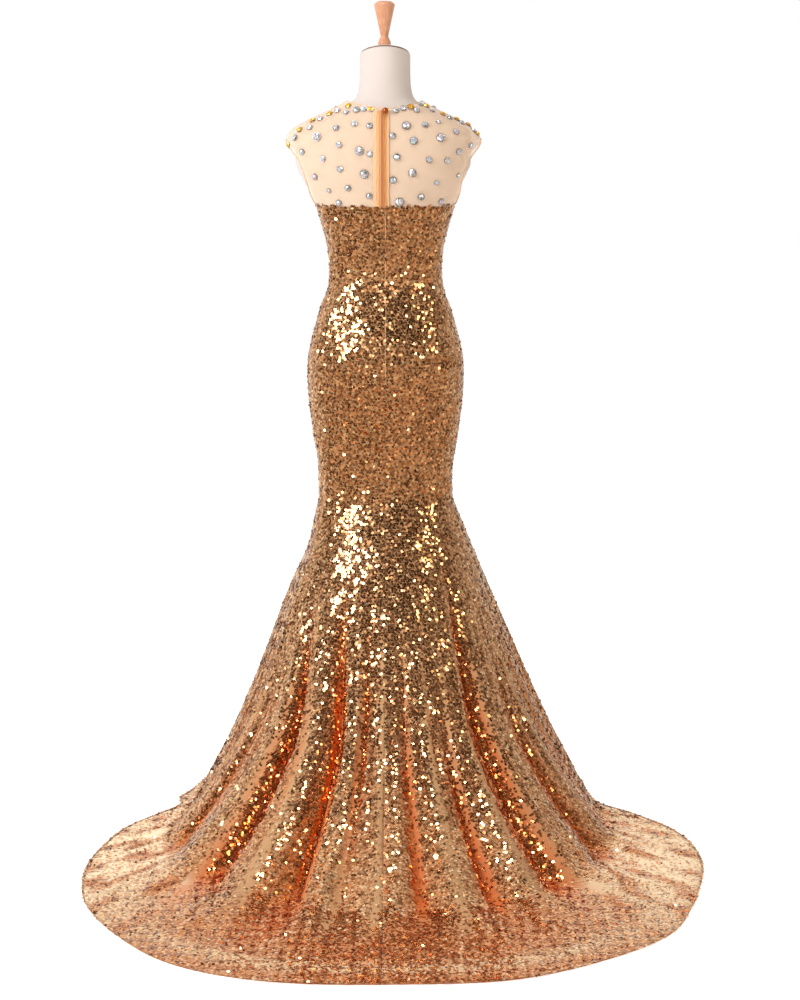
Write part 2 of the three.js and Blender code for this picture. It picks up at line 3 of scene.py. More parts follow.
import bpy
import numpy as np
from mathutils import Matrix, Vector


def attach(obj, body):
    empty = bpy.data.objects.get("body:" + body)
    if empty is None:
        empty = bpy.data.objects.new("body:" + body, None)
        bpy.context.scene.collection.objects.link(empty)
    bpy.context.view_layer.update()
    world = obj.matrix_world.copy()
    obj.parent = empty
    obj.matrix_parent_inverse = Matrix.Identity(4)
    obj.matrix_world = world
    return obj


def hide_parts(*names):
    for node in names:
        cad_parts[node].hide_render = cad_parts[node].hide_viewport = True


# The frame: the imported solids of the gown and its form, in metres, +Z up. This script works in millimetres.
# The wearer faces +Y and the train lies toward -Y; plan angles run from the centre back, plus toward +X.
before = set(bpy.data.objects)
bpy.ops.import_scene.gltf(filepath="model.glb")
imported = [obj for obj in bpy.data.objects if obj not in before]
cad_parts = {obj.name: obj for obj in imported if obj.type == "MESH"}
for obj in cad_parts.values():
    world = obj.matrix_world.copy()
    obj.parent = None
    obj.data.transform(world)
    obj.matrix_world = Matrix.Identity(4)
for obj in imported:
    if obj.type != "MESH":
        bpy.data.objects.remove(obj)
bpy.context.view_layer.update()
rng = np.random.default_rng(482)
MM = 0.001

KNEE, BODICE_TOP = 650.0, 1265.0
CLOTH = 2.0  # thickness of the sequin cloth
SEAM = 0.3  # gap where two cut panels meet
# Height, half width, depth behind and depth before, of the body's sections
SECTIONS = np.array([
    [650, 142, 86, 95], [677, 141, 87, 92], [709, 142, 89, 92], [741, 145, 92, 94], [773, 150, 95, 98],
    [805, 155, 98, 102], [837, 159, 101, 108], [869, 162, 103, 115], [901, 163.5, 105, 121], [933, 164, 106, 124],
    [964, 160, 106, 122], [996, 153, 105, 116], [1027, 144, 103, 105], [1059, 135, 100, 92], [1090, 122, 97, 80],
    [1121, 117, 96, 75], [1153, 118, 100, 78], [1184, 121, 108, 84], [1215, 129, 117, 92], [1246, 138, 124, 98],
    [1265, 143, 127, 101], [1300, 168, 124, 108], [1330, 188, 114, 111], [1365, 196, 93, 109], [1402, 205, 68, 102],
    [1430, 180, 58, 90], [1465, 107, 47, 68], [1480, 78, 42, 60]], float)
# Plan angle, distance from the pole at which the cloth meets the floor
TOUCH = np.array([
    [-180, 378], [-150, 385], [-120, 394], [-100, 404], [-90, 402], [-75, 425], [-60, 500], [-45, 585], [-30, 670],
    [-15, 720], [0, 740], [15, 730], [30, 690], [45, 610], [60, 530], [75, 455], [90, 430], [100, 430], [120, 408],
    [150, 388], [180, 378]], float)
# Plan angle, distance from the pole to the hem
HEM = np.array([
    [-180, 388], [-150, 396], [-120, 408], [-100, 412], [-91, 422], [-84, 445], [-77, 451], [-72, 499], [-65, 591],
    [-58, 666], [-53, 726], [-48, 783], [-39, 881], [-30, 961], [-21, 1033], [-12, 1060], [2, 1056], [12, 1060],
    [21, 1031], [32, 977], [40, 896], [46, 840], [55, 764], [66, 650], [73, 546], [79, 464], [90, 436], [100, 438],
    [120, 422], [150, 400], [180, 388]], float)
# Troughs between the folds: plan angle at the knee and on the floor, where each starts and ends down the skirt
# (0 knee, 1 floor, 2 hem), and how deep it is
TROUGHS = np.array([
    [-167, -166, 0.30, 2.0, 17], [-146, -146, 0.22, 2.0, 22], [-126, -125, 0.30, 2.0, 16],
    [-108, -104, 0.24, 2.0, 21], [-94, -85, 0.30, 1.9, 17], [-80, -66, 0.28, 1.8, 20], [-69, -49, 0.34, 1.7, 18],
    [-58, -31, 0.16, 1.75, 33], [-30, -14, 0.08, 1.7, 35], [-9, -6, 0.10, 1.2, 15], [10, 6, 0.26, 1.5, 20],
    [26, 17, 0.36, 1.6, 24], [44, 29, 0.08, 1.6, 32], [64, 46, 0.34, 1.7, 25], [79, 64, 0.26, 1.8, 18],
    [94, 84, 0.30, 1.9, 20], [108, 104, 0.24, 2.0, 17], [127, 126, 0.30, 2.0, 21], [148, 147, 0.22, 2.0, 17],
    [171, 171, 0.30, 2.0, 21]], float)
# Gores of the sequin dress: name, trough it starts after, number of folds in it
GORES = [
    ("side_front_left_gore", 1, 2), ("side_back_left_gore", 3, 3), ("back_left_gore", 6, 3),
    ("back_right_gore", 9, 3), ("side_back_right_gore", 12, 3), ("side_front_right_gore", 15, 2),
    ("front_gore", 17, 4)]


def smooth(lo, hi, v):
    t = np.clip((v - lo) / (hi - lo), 0, 1)
    return t * t * (3 - 2 * t)


def look(table, k, at):
    """Smooth curve through a table's rows, column k against column 0."""
    x, y = table[:, 0], table[:, k]
    slope = np.empty_like(y)
    slope[1:-1] = (y[2:] - y[:-2]) / (x[2:] - x[:-2])
    slope[0], slope[-1] = (y[1] - y[0]) / (x[1] - x[0]), (y[-1] - y[-2]) / (x[-1] - x[-2])
    i = np.clip(np.searchsorted(x, at) - 1, 0, len(x) - 2)
    w = x[i + 1] - x[i]
    t = np.clip((at - x[i]) / w, 0, 1)
    s = 1 - t
    return (s * s * (1 + 2 * t) * y[i] + t * t * (3 - 2 * t) * y[i + 1]
            + t * s * s * w * slope[i] - t * t * s * w * slope[i + 1])


def wrap(a):
    return (a + 180) % 360 - 180


RIGHT_DRAW = 0.035  # share by which the right shoulder is narrower
OVAL = 2.25  # roundness of the sections, 2 for an ellipse


def body_radius(angle, z):
    """Radius of the gown's section at a plan angle and height."""
    c, s = np.cos(np.radians(angle)), np.abs(np.sin(np.radians(angle)))
    depth = np.where(c > 0, look(SECTIONS, 3, z), look(SECTIONS, 2, z))
    side = look(SECTIONS, 1, z) * np.where(np.sin(np.radians(angle)) > 0, 1 - RIGHT_DRAW * smooth(1270, 1330, z), 1)
    r = ((s / side) ** OVAL + (np.abs(c) / depth) ** OVAL) ** (-1 / OVAL)
    off = (180 - np.abs(wrap(angle)) - 33) / 17
    bust = 9 * np.exp(-off * off) * smooth(1150, 1255, z) * (1 - smooth(1262, 1345, z))
    return r + np.where(c < 0, bust, 0)


def at(angle, r, z):
    a = np.radians(angle)
    return np.stack(np.broadcast_arrays(np.sin(a) * r, -np.cos(a) * r, z), -1)


def body_point(angle, z):
    return at(angle, body_radius(angle, z), z)


def unit(v):
    return v / np.maximum(np.linalg.norm(v, axis=-1, keepdims=True), 1e-12)


# The sequin gown's surface: fitted to the knee, then flared in round folds that spread over the floor as a train.
# Every panel is read from this one surface, so neighbouring panels meet at their seams.
def fold_angles(c):
    n = len(TROUGHS)
    k = np.floor(c).astype(int) % n
    x = c - np.floor(c)
    turn = np.where(k == n - 1, 360, 0)
    a, b = TROUGHS[k], TROUGHS[(k + 1) % n]
    top = a[..., 0] * (1 - x) + (b[..., 0] + turn) * x
    floor = a[..., 1] * (1 - x) + (b[..., 1] + turn) * x
    return top, floor, a, b, x


KNEE_TUCK = 8.0  # how far the left side is drawn in below the knee


def base_path(c, u):
    """Plan angle, distance from the pole and height of the skirt without its folds."""
    top, floor, _, _, _ = fold_angles(c)
    f = smooth(0.03, 0.62, u)
    angle = top * (1 - f) + floor * f
    start = body_radius(angle, np.full_like(angle, KNEE))
    touch = look(TOUCH, 1, wrap(angle))
    hem = np.maximum(touch + 6, look(HEM, 1, wrap(angle)))
    back = np.clip(np.cos(np.radians(angle)), 0, 1) ** 0.8
    side = np.sin(np.radians(angle))
    turned = np.abs(wrap(angle))
    swell = 0.12 * smooth(92, 108, turned) + 0.06 * np.exp(-((turned - 70) / 9) ** 2)
    lean = np.where(side > 0, 0.08, 0.02 - swell) * side
    t = np.clip(u, 0, 1)
    q = 1 - t
    r = start + (touch - start) * (2 * t * q * (0.42 - 0.12 * back + lean) + t * t)
    r = r - KNEE_TUCK * np.clip(-side, 0, 1) * np.exp(-((t - 0.15) / 0.09) ** 2)
    z = KNEE * q * q + 2 * t * q * (290 - 80 * back)
    return angle, r + (hem - touch) * np.clip(u - 1, 0, 1), z


def fold_depth(row, u):
    return row[..., 4] * smooth(row[..., 2], row[..., 2] + 0.5, u) * (1 - smooth(row[..., 3] - 0.55, row[..., 3], u))


def fold_lift(row, u):
    return row[..., 4] * 0.5 * smooth(0.75, 1, u) * (1 - smooth(1.0, row[..., 3], u))


def ripples(c, u):
    """Small creases between the large folds, about plus or minus two."""
    return np.sin(c * 17.3 + 3.1 * u) + 0.7 * np.sin(c * 29.9 - 5 * u + 1.3) + 0.5 * np.sin(c * 7.7 + 9 * u)


def skirt_point(c, u):
    angle, r, z = base_path(c, u)
    _, r1, z1 = base_path(c, u + 0.01)
    _, r0, z0 = base_path(c, u - 0.01)
    dr, dz = r1 - r0, z1 - z0
    length = np.maximum(np.hypot(dr, dz), 1e-9)
    _, _, a, b, x = fold_angles(c)
    w = smooth(0, 1, x)
    arch = np.sin(np.pi * x)
    out = -(fold_depth(a, u) * (1 - w) + fold_depth(b, u) * w) * (1 - arch ** 0.62)
    lift = (fold_lift(a, u) * (1 - w) + fold_lift(b, u) * w) * arch ** 0.8
    ripple = 2.1 * smooth(0.1, 0.6, u) * (1 - smooth(1.5, 1.95, u)) * ripples(c, u)
    out = out + 0.7 * ripple * (1 - smooth(0.92, 1.05, u))
    lift = lift + 1.5 * np.abs(ripple) * smooth(0.95, 1.1, u)
    return at(angle, r - dz / length * out, np.maximum(z + dr / length * out + lift, CLOTH))


def fold_shade(c, u):
    """Painted glow and shade of a point in the folds and creases, its painted paleness where the cloth lies thin on
    the floor, and how bare of sequins it is.
    """
    _, floor, a, b, x = fold_angles(c)
    w = smooth(0, 1, x)
    # painted glow and shade, redder and darker, deep in the large folds and in the troughs of the small creases
    painted_fold_glow = (fold_depth(a, u) * (1 - w) + fold_depth(b, u) * w) * (1 - np.sin(np.pi * x) ** 0.62) / 17
    painted_fold_glow = painted_fold_glow + 0.32 * np.clip(-0.5 - ripples(c, u), 0, 2) * smooth(0.25, 0.7, u) * (1 - smooth(1.0, 1.3, u))
    side = np.abs(wrap(floor))
    flat = smooth(0.98, 1.15, u)
    # the folds run out unevenly over the middle of the train
    ends = 1.02 + 0.1 * np.sin(3.7 * c) + 0.05 * np.sin(8.1 * c + 1)
    spread_out = smooth(ends, ends + 0.42, u)
    thin = flat * smooth(20, 48, side) * (1 - smooth(110, 130, side))
    middle = 1 - smooth(18, 40, side)
    # on the floor the sequins gather in ribs along the creases; the ribs get painted shade and lose painted paleness
    rib = smooth(0.1, 1.3, ripples(c, u) + 0.6 * np.sin(11 * u + 1.9 * c))
    # near the hem a band across the middle of the train is painted paler and less red, a painted highlight of a low
    # wave in the cloth that is not built
    highlight_band = np.exp(-((u - 1.78) / 0.07) ** 2) * middle
    # painted glow and shade also over the middle of the train where the folds run out, and on the ribs at its sides
    painted_fold_glow = painted_fold_glow * (1 - 0.55 * flat) + 0.42 * spread_out * middle * (1 - highlight_band) + 0.5 * flat * rib * (1 - middle)
    streak = smooth(0.5, 0.95, np.sin(c * 10.3 + 1.6 * np.sin(2.3 * u + c)))
    bare = (streak * smooth(0.15, 0.6, u) * (1 - spread_out) + flat * (0.8 - 0.75 * rib) * thin
            + 0.3 * spread_out * middle)
    # painted paleness on the thin cloth on the floor, and the painted highlight band
    return np.clip(painted_fold_glow, 0, 1), np.clip(thin * (1 - 0.75 * rib) + 0.5 * highlight_band, 0, 1), bare


def path_steps(c, rows):
    """u at equal steps of each column's length from knee to hem."""
    u = np.linspace(0, 2, 161)
    _, r, z = base_path(c[:, None] + 0 * u, u[None, :] + 0 * c[:, None])
    run = np.concatenate([np.zeros((len(c), 1)), np.cumsum(np.hypot(np.diff(r), np.diff(z)), 1)], 1)
    want = np.linspace(0, 1, rows + 1)
    return np.array([np.interp(want * run[i, -1], run[i], u) for i in range(len(c))]).T


def gown_grid(c, fit_rows, flare_rows, top=BODICE_TOP):
    """Points of the gown, rows from the bodice top to the hem, one column for each fold number in c."""
    z = np.linspace(top, KNEE, fit_rows + 1)[:-1, None] + 0 * c
    angle = fold_angles(c)[0][None, :] + 0 * z
    upper = body_point(angle, z)
    # light pulls across the waist and the back of the knee
    pull = 0.9 * np.sin(z / 13 + angle / 21) * np.exp(-((z - 1090) / 42) ** 2)
    pull = pull + 1.1 * np.sin(z / 17 - angle / 16) * np.exp(-((z - 705) / 60) ** 2)
    upper = upper + pull[..., None] * unit(upper * [1, 1, 0])
    steps = np.clip(path_steps(c, flare_rows), 0, 1.995)
    c_all = c[None, :] + 0 * steps
    shades = [np.concatenate([0 * z, s]) for s in fold_shade(c_all, steps)]
    return np.concatenate([upper, skirt_point(c_all, steps)]), *shades


def grid_normals(p):
    du, dv = np.gradient(p, axis=1), np.gradient(p, axis=0)
    return unit(np.cross(dv, du))


def flat_size(grid):
    """Width, length and area of a panel, measured over its surface in metres."""
    wide = np.linalg.norm(np.diff(grid, axis=1), axis=2).sum(1).max()
    tall = np.linalg.norm(np.diff(grid, axis=0), axis=2).sum(0).max()
    cross = np.cross(grid[1:, 1:] - grid[:-1, :-1], grid[1:, :-1] - grid[:-1, 1:])
    area = 0.5 * np.linalg.norm(cross, axis=2).sum()
    return float(wide) * MM, float(tall) * MM, float(area) * MM * MM


def make(name, points, faces, material, smooth_shade=True):
    mesh = bpy.data.meshes.new(name)
    mesh.from_pydata((np.asarray(points) * MM).tolist(), [], faces)
    mesh.materials.append(material)
    obj = bpy.data.objects.new(name, mesh)
    bpy.context.collection.objects.link(obj)
    if smooth_shade:
        mesh.polygons.foreach_set("use_smooth", [True] * len(mesh.polygons))
    mesh.update()
    return obj


def grid_faces(rows, cols, start=0, flip=False):
    i = (np.arange(rows - 1)[:, None] * cols + np.arange(cols - 1)[None, :]).ravel() + start
    f = np.stack([i, i + cols, i + cols + 1, i + 1], 1)
    return (f[:, ::-1] if flip else f).tolist()


def shell(name, grid, thick, material, normals=None, inset=0.0):
    """Closed wall from a grid of outer points, rows downward and columns to the right as seen from outside."""
    rows, cols = grid.shape[:2]
    n = grid_normals(grid) if normals is None else normals
    outer = grid - n * inset
    inner = grid - n * (inset + thick)
    inner[..., 2] = np.maximum(inner[..., 2], 0.0)
    points = np.concatenate([outer.reshape(-1, 3), inner.reshape(-1, 3)])
    k = rows * cols
    faces = grid_faces(rows, cols) + grid_faces(rows, cols, k, True)
    for j in range(cols - 1):
        a, b = j, (rows - 1) * cols + j
        faces += [[a, a + 1, k + a + 1, k + a], [b + 1, b, k + b, k + b + 1]]
    for r in range(rows - 1):
        a, b = r * cols, r * cols + cols - 1
        faces += [[a + cols, a, k + a, k + a + cols], [b, b + cols, k + b + cols, k + b]]
    return make(name, points, faces, material)


def shader(name, color, roughness=0.5, metallic=0.0, **more):
    m = bpy.data.materials.new(name)
    m.use_nodes = True
    b = m.node_tree.nodes["Principled BSDF"]
    b.inputs["Base Color"].default_value = (*color, 1)
    b.inputs["Roughness"].default_value = roughness
    b.inputs["Metallic"].default_value = metallic
    for key, value in more.items():
        b.inputs[key.replace("_", " ")].default_value = value
    return m, b


def link(m, a, b):
    m.node_tree.links.new(a, b)


def node(m, kind, **values):
    n = m.node_tree.nodes.new(kind)
    for key, value in values.items():
        if hasattr(n, key):
            setattr(n, key, value)
        else:
            n.inputs[key.replace("_", " ")].default_value = value
    return n


def blend(m, factor, low, high):
    """Colour mixed from low to high; either may be a colour or a socket."""
    mix = node(m, "ShaderNodeMix", data_type="RGBA")
    link(m, factor, mix.inputs[0])
    for place, value in ((6, low), (7, high)):
        if isinstance(value, tuple):
            mix.inputs[place].default_value = (*value, 1)
        else:
            link(m, value, mix.inputs[place])
    return mix.outputs[2]


def graded(m, stops):
    """Colour ramp through the given places and colours, from its first stop to its last."""
    ramp = node(m, "ShaderNodeValToRGB")
    ends = ramp.color_ramp.elements
    for end, (place, color) in ((ends[0], stops[0]), (ends[1], stops[-1])):
        end.position, end.color = place, (*color, 1)
    for place, color in stops[1:-1]:
        ends.new(place).color = (*color, 1)
    return ramp


def reader(m, name):
    return node(m, "ShaderNodeAttribute", attribute_name=name).outputs["Fac"]


# Net ground of the sequin cloth: a stretch net in tan orange that shows between the sequins. In the folds it is
# painted redder and a little darker, a painted glow of bounced light with painted shade; where it lies thin on the
# floor it is painted paler, painted light of the white floor showing through. It is cut as seven long gores.
net, net_b = shader("sequin_ground", (0.6, 0.28, 0.12), 0.75)
tex = node(net, "ShaderNodeTexCoord")
noise = node(net, "ShaderNodeTexNoise", Scale=900.0, Detail=2.0)
# painted glow and shade in the folds, then painted paleness where the net lies thin on the floor
ground = blend(net, reader(net, "painted_fold_glow"), (0.52, 0.29, 0.13), (0.6, 0.135, 0.02))
link(net, blend(net, reader(net, "painted_pale"), ground, (1.0, 0.79, 0.53)), net_b.inputs["Base Color"])
bump = node(net, "ShaderNodeBump", Strength=0.4, Distance=0.0004)
link(net, tex.outputs["Object"], noise.inputs["Vector"])
link(net, noise.outputs["Fac"], bump.inputs["Height"])
link(net, bump.outputs["Normal"], net_b.inputs["Normal"])

# Sequins: flat round metallised spangles about 5.6 mm wide, stamped from film and sewn close all over the net.
# Each hangs by its thread at its own slant, so some flash and the rest stay bronze.
spangle, spangle_b = shader("gold_sequin", (0.8, 0.5, 0.25), 0.13, 1.0)
ramp = graded(spangle, (
    (0.0, (0.33, 0.145, 0.06)), (0.35, (0.68, 0.33, 0.15)), (0.65, (0.9, 0.51, 0.25)), (1.0, (1.0, 0.74, 0.45))))
link(spangle, reader(spangle, "tone"), ramp.inputs["Fac"])
# painted glow and shade: sequins in the folds and creases are painted redder and a little darker
gold = blend(spangle, reader(spangle, "painted_fold_glow"), ramp.outputs["Color"], (0.85, 0.22, 0.04))
link(spangle, gold, spangle_b.inputs["Base Color"])

SPACING = 5.2  # from one sequin to the next along a line
LINE_GAP = 0.87  # from one line to the next, as a share of that
SEQUIN, SEQUIN_VARIES = 5.6, 0.3
BARE_LOSS = 0.8  # share of the sequins left out where the net lies bare
LOOSE_SHARE, LOOSE_LEAN, SEWN_LEAN, SHARED_LEAN = 0.16, 0.36, 0.075, 0.14
LEAN_WAVES = np.array([[0.11, 0.07, 0.16], [-0.13, 0.09, 0.12], [0.08, -0.14, 0.19]])
HEXAGON = np.array([[math.cos(math.radians(60 * k)), math.sin(math.radians(60 * k))] for k in range(6)])


def sample(grid, row, col):
    """Grid value at fractional rows and columns."""
    r0 = np.clip(row.astype(int), 0, grid.shape[0] - 2)
    c0 = np.clip(col.astype(int), 0, grid.shape[1] - 2)
    fr, fc = (row - r0)[:, None], (col - c0)[:, None]
    return ((grid[r0, c0] * (1 - fc) + grid[r0, c0 + 1] * fc) * (1 - fr)
            + (grid[r0 + 1, c0] * (1 - fc) + grid[r0 + 1, c0 + 1] * fc) * fr)


def spread(grid, pitch):
    """Fractional rows and columns of sequins set in offset lines across a grid."""
    run = np.linalg.norm(np.diff(grid, axis=0), axis=2).mean(1)
    total = np.concatenate([[0], np.cumsum(run)])
    lines = int(total[-1] / (pitch * LINE_GAP))
    rows, cols = [], []
    for k in range(lines):
        row = np.interp((k + 0.5) / lines * total[-1], total, np.arange(len(total)))
        low = int(min(row, len(total) - 2))
        line = grid[low] * (1 - (row - low)) + grid[low + 1] * (row - low)
        across = np.concatenate([[0], np.cumsum(np.linalg.norm(np.diff(line, axis=0), axis=1))])
        count = max(2, int(across[-1] / pitch))
        want = (np.arange(count) + 0.25 + 0.5 * (k % 2)) / count * across[-1]
        want = want + rng.uniform(-0.25, 0.25, count) * pitch
        cols.append(np.interp(want, across, np.arange(len(across))))
        rows.append(row + rng.uniform(-0.25, 0.25, count) * pitch / run[low])
    return np.clip(np.concatenate(rows), 0, len(total) - 1), np.concatenate(cols)


def sequins(name, place, normal, size, tone_values, painted_glow_values, material):
    """One mesh of flat six-sided spangles with a colour value and a map cell each."""
    n = len(place)
    side = unit(np.cross(normal, [0.31, 0.17, 0.93]))
    other = np.cross(normal, side)
    turn = rng.uniform(0, 2 * math.pi, n)
    a = side * np.cos(turn)[:, None] + other * np.sin(turn)[:, None]
    b = np.cross(normal, a)
    corners = a[:, None, :] * HEXAGON[None, :, :1] + b[:, None, :] * HEXAGON[None, :, 1:]
    rim = place[:, None, :] + size[:, None, None] / 2 * corners
    points = rim.reshape(-1, 3) * MM
    points[:, 2] = np.maximum(points[:, 2], 0.0004)
    mesh = bpy.data.meshes.new(name)
    mesh.vertices.add(6 * n)
    mesh.vertices.foreach_set("co", points.ravel())
    mesh.loops.add(6 * n)
    mesh.loops.foreach_set("vertex_index", np.arange(6 * n))
    mesh.polygons.add(n)
    mesh.polygons.foreach_set("loop_start", np.arange(n) * 6)
    mesh.polygons.foreach_set("loop_total", np.full(n, 6))
    mesh.update(calc_edges=True)
    for key, values in (("tone", tone_values), ("painted_fold_glow", painted_glow_values)):
        mesh.attributes.new(key, "FLOAT", "FACE").data.foreach_set("value", values)
    cells = int(math.ceil(math.sqrt(n)))
    order = np.arange(n)
    centre = np.stack([(order % cells + 0.5) / cells, (order // cells + 0.5) / cells], 1)
    uv = centre[:, None, :] + HEXAGON[None] * 0.4 / cells
    mesh.uv_layers.new(name="OFBake").data.foreach_set("uv", uv.ravel())
    mesh.materials.append(material)
    obj = bpy.data.objects.new(name, mesh)
    bpy.context.collection.objects.link(obj)
    return obj


def cord(name, path, radius, material, sides=6):
    """Round cord along a path, closed at both ends."""
    path = np.asarray(path, float)
    way = unit(np.gradient(path, axis=0))
    side = unit(np.cross(way, unit(path * [1, 1, 0]) + 1e-6))
    other = np.cross(way, side)
    turn = 2 * np.pi * np.arange(sides) / sides
    rings = [p + radius * (np.cos(turn)[:, None] * s + np.sin(turn)[:, None] * o)
             for p, s, o in zip(path, side, other)]
    faces = []
    for k in range(len(rings) - 1):
        for j in range(sides):
            i = (j + 1) % sides
            faces.append([k * sides + j, k * sides + i, (k + 1) * sides + i, (k + 1) * sides + j])
    last = (len(rings) - 1) * sides
    faces += [list(range(sides - 1, -1, -1)), [last + j for j in range(sides)]]
    return make(name, np.concatenate(rings), faces, material)


def grained(name, color, dark, roughness, scale, strength, metallic=0.0, stretch=(1, 1, 1)):
    """Finish with a fine raised grain and a slow change of tone from dark to color."""
    m, b = shader(name, color, roughness, metallic)
    place = node(m, "ShaderNodeTexCoord")
    turn = node(m, "ShaderNodeMapping")
    turn.inputs["Scale"].default_value = stretch
    fine = node(m, "ShaderNodeTexNoise", Scale=scale, Detail=2.0)
    slow = node(m, "ShaderNodeTexNoise", Scale=24.0, Detail=3.0)
    raised = node(m, "ShaderNodeBump", Strength=strength, Distance=0.0003)
    link(m, place.outputs["Object"], turn.inputs["Vector"])
    link(m, turn.outputs["Vector"], fine.inputs["Vector"])
    link(m, place.outputs["Object"], slow.inputs["Vector"])
    link(m, fine.outputs["Fac"], raised.inputs["Height"])
    link(m, raised.outputs["Normal"], b.inputs["Normal"])
    link(m, blend(m, slow.outputs["Fac"], dark, color), b.inputs["Base Color"])
    return m, b


# The seven long gores: each is one panel of the net, cut from the bodice's top edge to the hem, covered in sequins
# and sewn to its neighbours. A thin dark-brown cord along each panel's foot is painted shadow, the shade under the
# sequins' edges at the hem.
CLOTH_WALL, CLOTH_INSET = 1.2, 0.5
HEM_CORD = 0.9
# dark brown, for the painted shadow line along the foot of each panel
hem_shadow_line, _ = grained("hem_shadow_line", (0.46, 0.22, 0.09), (0.34, 0.16, 0.07), 0.7, 900.0, 0.4)
for name, first, folds in GORES:
    lo, hi = first + 0.5, first + 0.5 + folds
    c = np.linspace(lo, hi, folds * 20 + 1)
    grid, painted_fold_glow, painted_pale, bare = gown_grid(c, 30, 60)
    normals = grid_normals(grid)
    # half of the seam gap at each side edge
    angle = np.arctan2(grid[..., 0], -grid[..., 1])
    across = np.stack([np.cos(angle), np.sin(angle), 0 * angle], -1)
    grid[:, 0] += across[:, 0] * SEAM / 2
    grid[:, -1] -= across[:, -1] * SEAM / 2
    cloth = shell(name.replace("_gore", "_cloth"), grid, CLOTH_WALL, net, normals, CLOTH_INSET)
    # the painted glow and painted paleness, passed on to the net's colour
    for key, values in (("painted_fold_glow", painted_fold_glow), ("painted_pale", painted_pale)):
        cloth.data.attributes.new(key, "FLOAT", "POINT").data.foreach_set("value", np.tile(values.ravel(), 2))
    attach(cloth, "root")
    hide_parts(name)
    row, col = spread(grid, SPACING)
    kept = rng.random(len(row)) > BARE_LOSS * sample(bare[..., None], row, col)[:, 0]
    row, col = row[kept], col[kept]
    place, normal = sample(grid, row, col), unit(sample(normals, row, col))
    # the painted glow and painted paleness at each sequin
    painted_glow_at, painted_pale_at = (sample(v[..., None], row, col)[:, 0] for v in (painted_fold_glow, painted_pale))
    # a ragged line of sequins over the bodice's top edge
    top_angle = fold_angles(rng.uniform(lo, hi, folds * 9))[0]
    top_height = BODICE_TOP + rng.uniform(-1, 4.5, folds * 9)
    edge_normal = unit(at(top_angle, 1.0, 0 * top_angle))
    # and another along the hem
    count = int(np.linalg.norm(np.diff(grid[-1], axis=0), axis=1).sum() / 4)
    hem_col, hem_row = rng.uniform(0, grid.shape[1] - 1, count), np.full(count, grid.shape[0] - 1.0)
    hem_place = sample(grid, hem_row, hem_col)
    hem_place = hem_place + unit(hem_place * [1, 1, 0]) * rng.uniform(-1.5, 2.5, (count, 1)) + [0, 0, 0.9]
    place = np.concatenate([place, body_point(top_angle, top_height) + edge_normal * 0.6, hem_place])
    normal = np.concatenate([normal, edge_normal, sample(normals, hem_row, hem_col)])
    painted_glow_at, painted_pale_at = (np.concatenate([v, 0 * top_angle, np.zeros(count)]) for v in (painted_glow_at, painted_pale_at))
    n = len(place)
    # lower down the weight of the skirt draws the sequins flat, so they shine in lines along the folds
    low = 1 - smooth(150, 520, place[:, 2])
    loose = np.where(rng.random(n) < LOOSE_SHARE, LOOSE_LEAN, SEWN_LEAN - 0.02 * low)
    # neighbours lean alike, so the shine comes in patches
    lean = np.stack([np.sin(place @ way + k) * np.sin(place @ way[::-1] + 2 * k)
                     for k, way in enumerate(LEAN_WAVES)], -1)
    slant = unit(normal + rng.normal(0, 1, (n, 3)) * loose[:, None] + SHARED_LEAN * lean)
    # the tone also changes in broad patches, a painted reflection, as sequins that lean alike catch the same light
    sheen_patch = np.sin(place @ [0.31, 0.17, 0.23]) * np.sin(place @ [-0.21, 0.19, 0.27] + 1.7)
    width = rng.normal(SEQUIN, SEQUIN_VARIES, n)
    # sequins on the thin cloth on the floor are painted paler, a painted reflection of the pale room
    tone = np.clip(rng.normal(0.42, 0.28, n) + 0.22 * sheen_patch + 0.5 * painted_pale_at, 0, 1)
    beads = sequins(name.replace("_gore", "_sequins"), place + normal * 0.35, slant, width, tone,
                    painted_glow_at * rng.uniform(0.3, 1, n), spangle)
    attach(beads, "root")
    # painted shadow: a dark cord along the hem, where the sequins' edges cast shade
    hem = cord(name.replace("_gore", "_hem_shadow"), grid[-1] + [0, 0, 0.6], HEM_CORD, hem_shadow_line)
    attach(hem, "root")
    # the hem runs slantwise across the cut, so the cut is narrower than the hem is long
    hem_run, tall, area = flat_size(grid)


# The centre-back seam: a fine pale line of folded net over the hidden zip, stitched flat in matching thread.
# It runs from the bodice's top edge to the seat and wavers a little under the sequins.
SEAM_TOP, SEAM_FOOT, SEAM_STEPS, SEAM_CORD = 1262, 905, 120, 0.6
thread, _ = grained("seam_thread", (0.76, 0.48, 0.27), (0.52, 0.31, 0.16), 0.7, 900.0, 0.4)
heights = np.linspace(SEAM_TOP, SEAM_FOOT, SEAM_STEPS)
angle = fold_angles(np.full(SEAM_STEPS, 9.5))[0] + 0.35 * np.sin(heights / 23)
line = body_point(angle, heights)
rise = 0.2 + 0.4 * np.sin(heights / 5.3) + 0.3 * np.sin(heights / 16)
seam = cord("centre_back_seam_line", line + unit(line * [1, 1, 0]) * rise[:, None], SEAM_CORD, thread)
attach(seam, "root")

# The sheer yoke: one layer of fine skin-toned net in three panels, from the bodice to the neckline,
# with cap sleeves and open armholes.
YOKE_SEAM = -4.0  # plan angle of the centre-back opening
ARM_TOP = 0.643  # share of the yoke's height at which the armholes end
NET_WALL, NET_INSET = 0.5, 0.4


def neckline(angle):
    c = np.cos(np.radians(angle))
    return np.where(c > 0, 1480 - 16 * c * c, 1480 - 74 * np.abs(c) ** 1.5)


